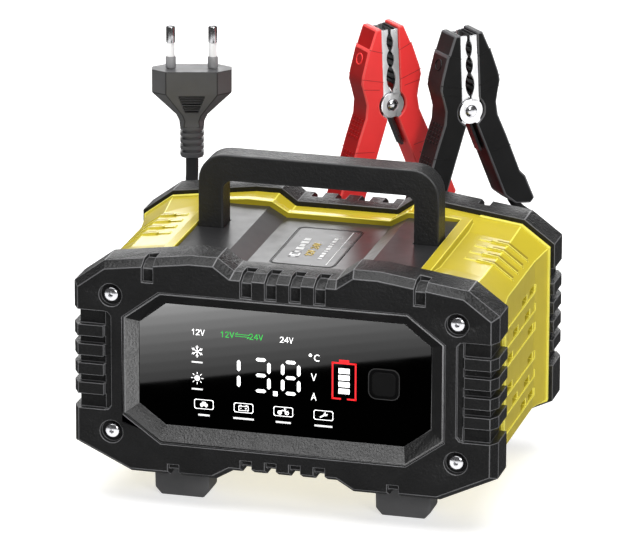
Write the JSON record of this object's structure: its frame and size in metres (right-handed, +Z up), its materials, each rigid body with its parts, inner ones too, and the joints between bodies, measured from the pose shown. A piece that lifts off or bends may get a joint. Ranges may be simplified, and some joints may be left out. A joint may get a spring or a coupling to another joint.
{
  "type": "car battery charger",
  "caption": "Portable car battery charger with black end bumpers, yellow shell, carrying handle, display window, mains plug lead and red and black battery clamps on leads.",
  "frame": {"origin": "centre of the charger's footprint, on the surface that its feet stand on; the leads, plug and clamps are left out of this centre", "axes": "+X to the right along the width, front display faces -Y, +Z up"},
  "size_m": [0.1928, 0.1845, 0.1769],
  "materials": {
    "bumper": "fine-grained matt black",
    "yellow_shell": "satin yellow moulding",
    "top_plate": "satin dark grey",
    "label": "printed film",
    "handle": "fine-grained matt black",
    "panel": "semi-gloss black",
    "button": "matt black",
    "window": "polished black window",
    "display": "lit digits on black",
    "circuit_board": "green solder mask",
    "fan": "matt black",
    "ferrite": "dark ferrite and tape",
    "capacitor": "dark blue sleeve",
    "copper": "enamelled copper",
    "heat_sink": "extruded aluminium",
    "bright_steel": "bright plated steel",
    "spring_steel": "dark oiled spring steel",
    "rubber": "matt black",
    "plug": "satin black",
    "mains_lead": "matt black flexible plastic",
    "red_wire": "red flexible plastic",
    "black_wire": "black flexible plastic",
    "red_plastic": "satin red",
    "black_plastic": "satin black"
  },
  "bodies": {
    "charger": {"black_clamp_fixed_handle": "black_plastic", "black_clamp_fixed_jaw": "bright_steel", "black_clamp_rivet": "bright_steel", "black_clamp_spring": "spring_steel", "black_gland": "rubber", "black_lead_end": "black_wire", "black_lead_hank": "black_wire", "black_lead_start": "black_wire", "bulk_capacitor": "capacitor", "case_shell": "yellow_shell", "display_board": "circuit_board", "display_module": "display", "display_window": "window", "fan_frame": "fan", "filter_choke": "copper", "foot_front_left": "rubber", "foot_front_right": "rubber", "foot_rear_left": "rubber", "foot_rear_right": "rubber", "front_bumper": "bumper", "front_panel": "panel", "handle": "handle", "handle_screw_left": "bright_steel", "handle_screw_right": "bright_steel", "heat_sink": "heat_sink", "label_plate": "label", "main_board": "circuit_board", "mains_gland": "rubber", "mains_lead_coil": "mains_lead", "mains_lead_end": "mains_lead", "mains_lead_start": "mains_lead", "plug_body": "plug", "plug_pin_left": "bright_steel", "plug_pin_right": "bright_steel", "rear_bumper": "bumper", "rear_panel": "panel", "red_clamp_fixed_handle": "red_plastic", "red_clamp_fixed_jaw": "bright_steel", "red_clamp_rivet": "bright_steel", "red_clamp_spring": "spring_steel", "red_gland": "rubber", "red_lead_end": "red_wire", "red_lead_hank": "red_wire", "red_lead_start": "red_wire", "screw_front_bottom_left": "bright_steel", "screw_front_bottom_right": "bright_steel", "screw_front_top_left": "bright_steel", "screw_front_top_right": "bright_steel", "screw_rear_bottom_left": "bright_steel", "screw_rear_bottom_right": "bright_steel", "screw_rear_top_left": "bright_steel", "screw_rear_top_right": "bright_steel", "top_plate": "top_plate", "transformer": "ferrite"},
    "mode_button": {"mode_button": "button"},
    "fan_rotor": {"fan_rotor": "fan"},
    "red_clamp_half": {"red_clamp_moving_handle": "red_plastic", "red_clamp_moving_jaw": "bright_steel"},
    "black_clamp_half": {"black_clamp_moving_handle": "black_plastic", "black_clamp_moving_jaw": "bright_steel"}
  },
  "joints": [
    {"name": "mode_button_press", "type": "slide", "parent": "charger", "child": "mode_button", "axis": [0, 1, 0], "range_m": [0, 0.0008], "stiffness_N_per_m": 400, "springref_m": -0.0008},
    {"name": "fan_spin", "type": "hinge", "parent": "charger", "child": "fan_rotor", "pos_m": [0.022, 0.0441, 0.064], "axis": [0, 1, 0], "continuous": true},
    {"name": "red_clamp_squeeze", "type": "hinge", "parent": "charger", "child": "red_clamp_half", "pos_m": [0.0051, 0.09, 0.1412], "axis": [0.682, -0.7314, 0], "range_deg": [0, 30], "stiffness_Nm_per_rad": 0.6, "springref_deg": -34.38, "deforming": ["red_clamp_spring"]},
    {"name": "black_clamp_squeeze", "type": "hinge", "parent": "charger", "child": "black_clamp_half", "pos_m": [0.0406, 0.09, 0.1412], "axis": [0.682, -0.7314, 0], "range_deg": [0, 30], "stiffness_Nm_per_rad": 0.6, "springref_deg": -34.38, "deforming": ["black_clamp_spring"]}
  ]
}
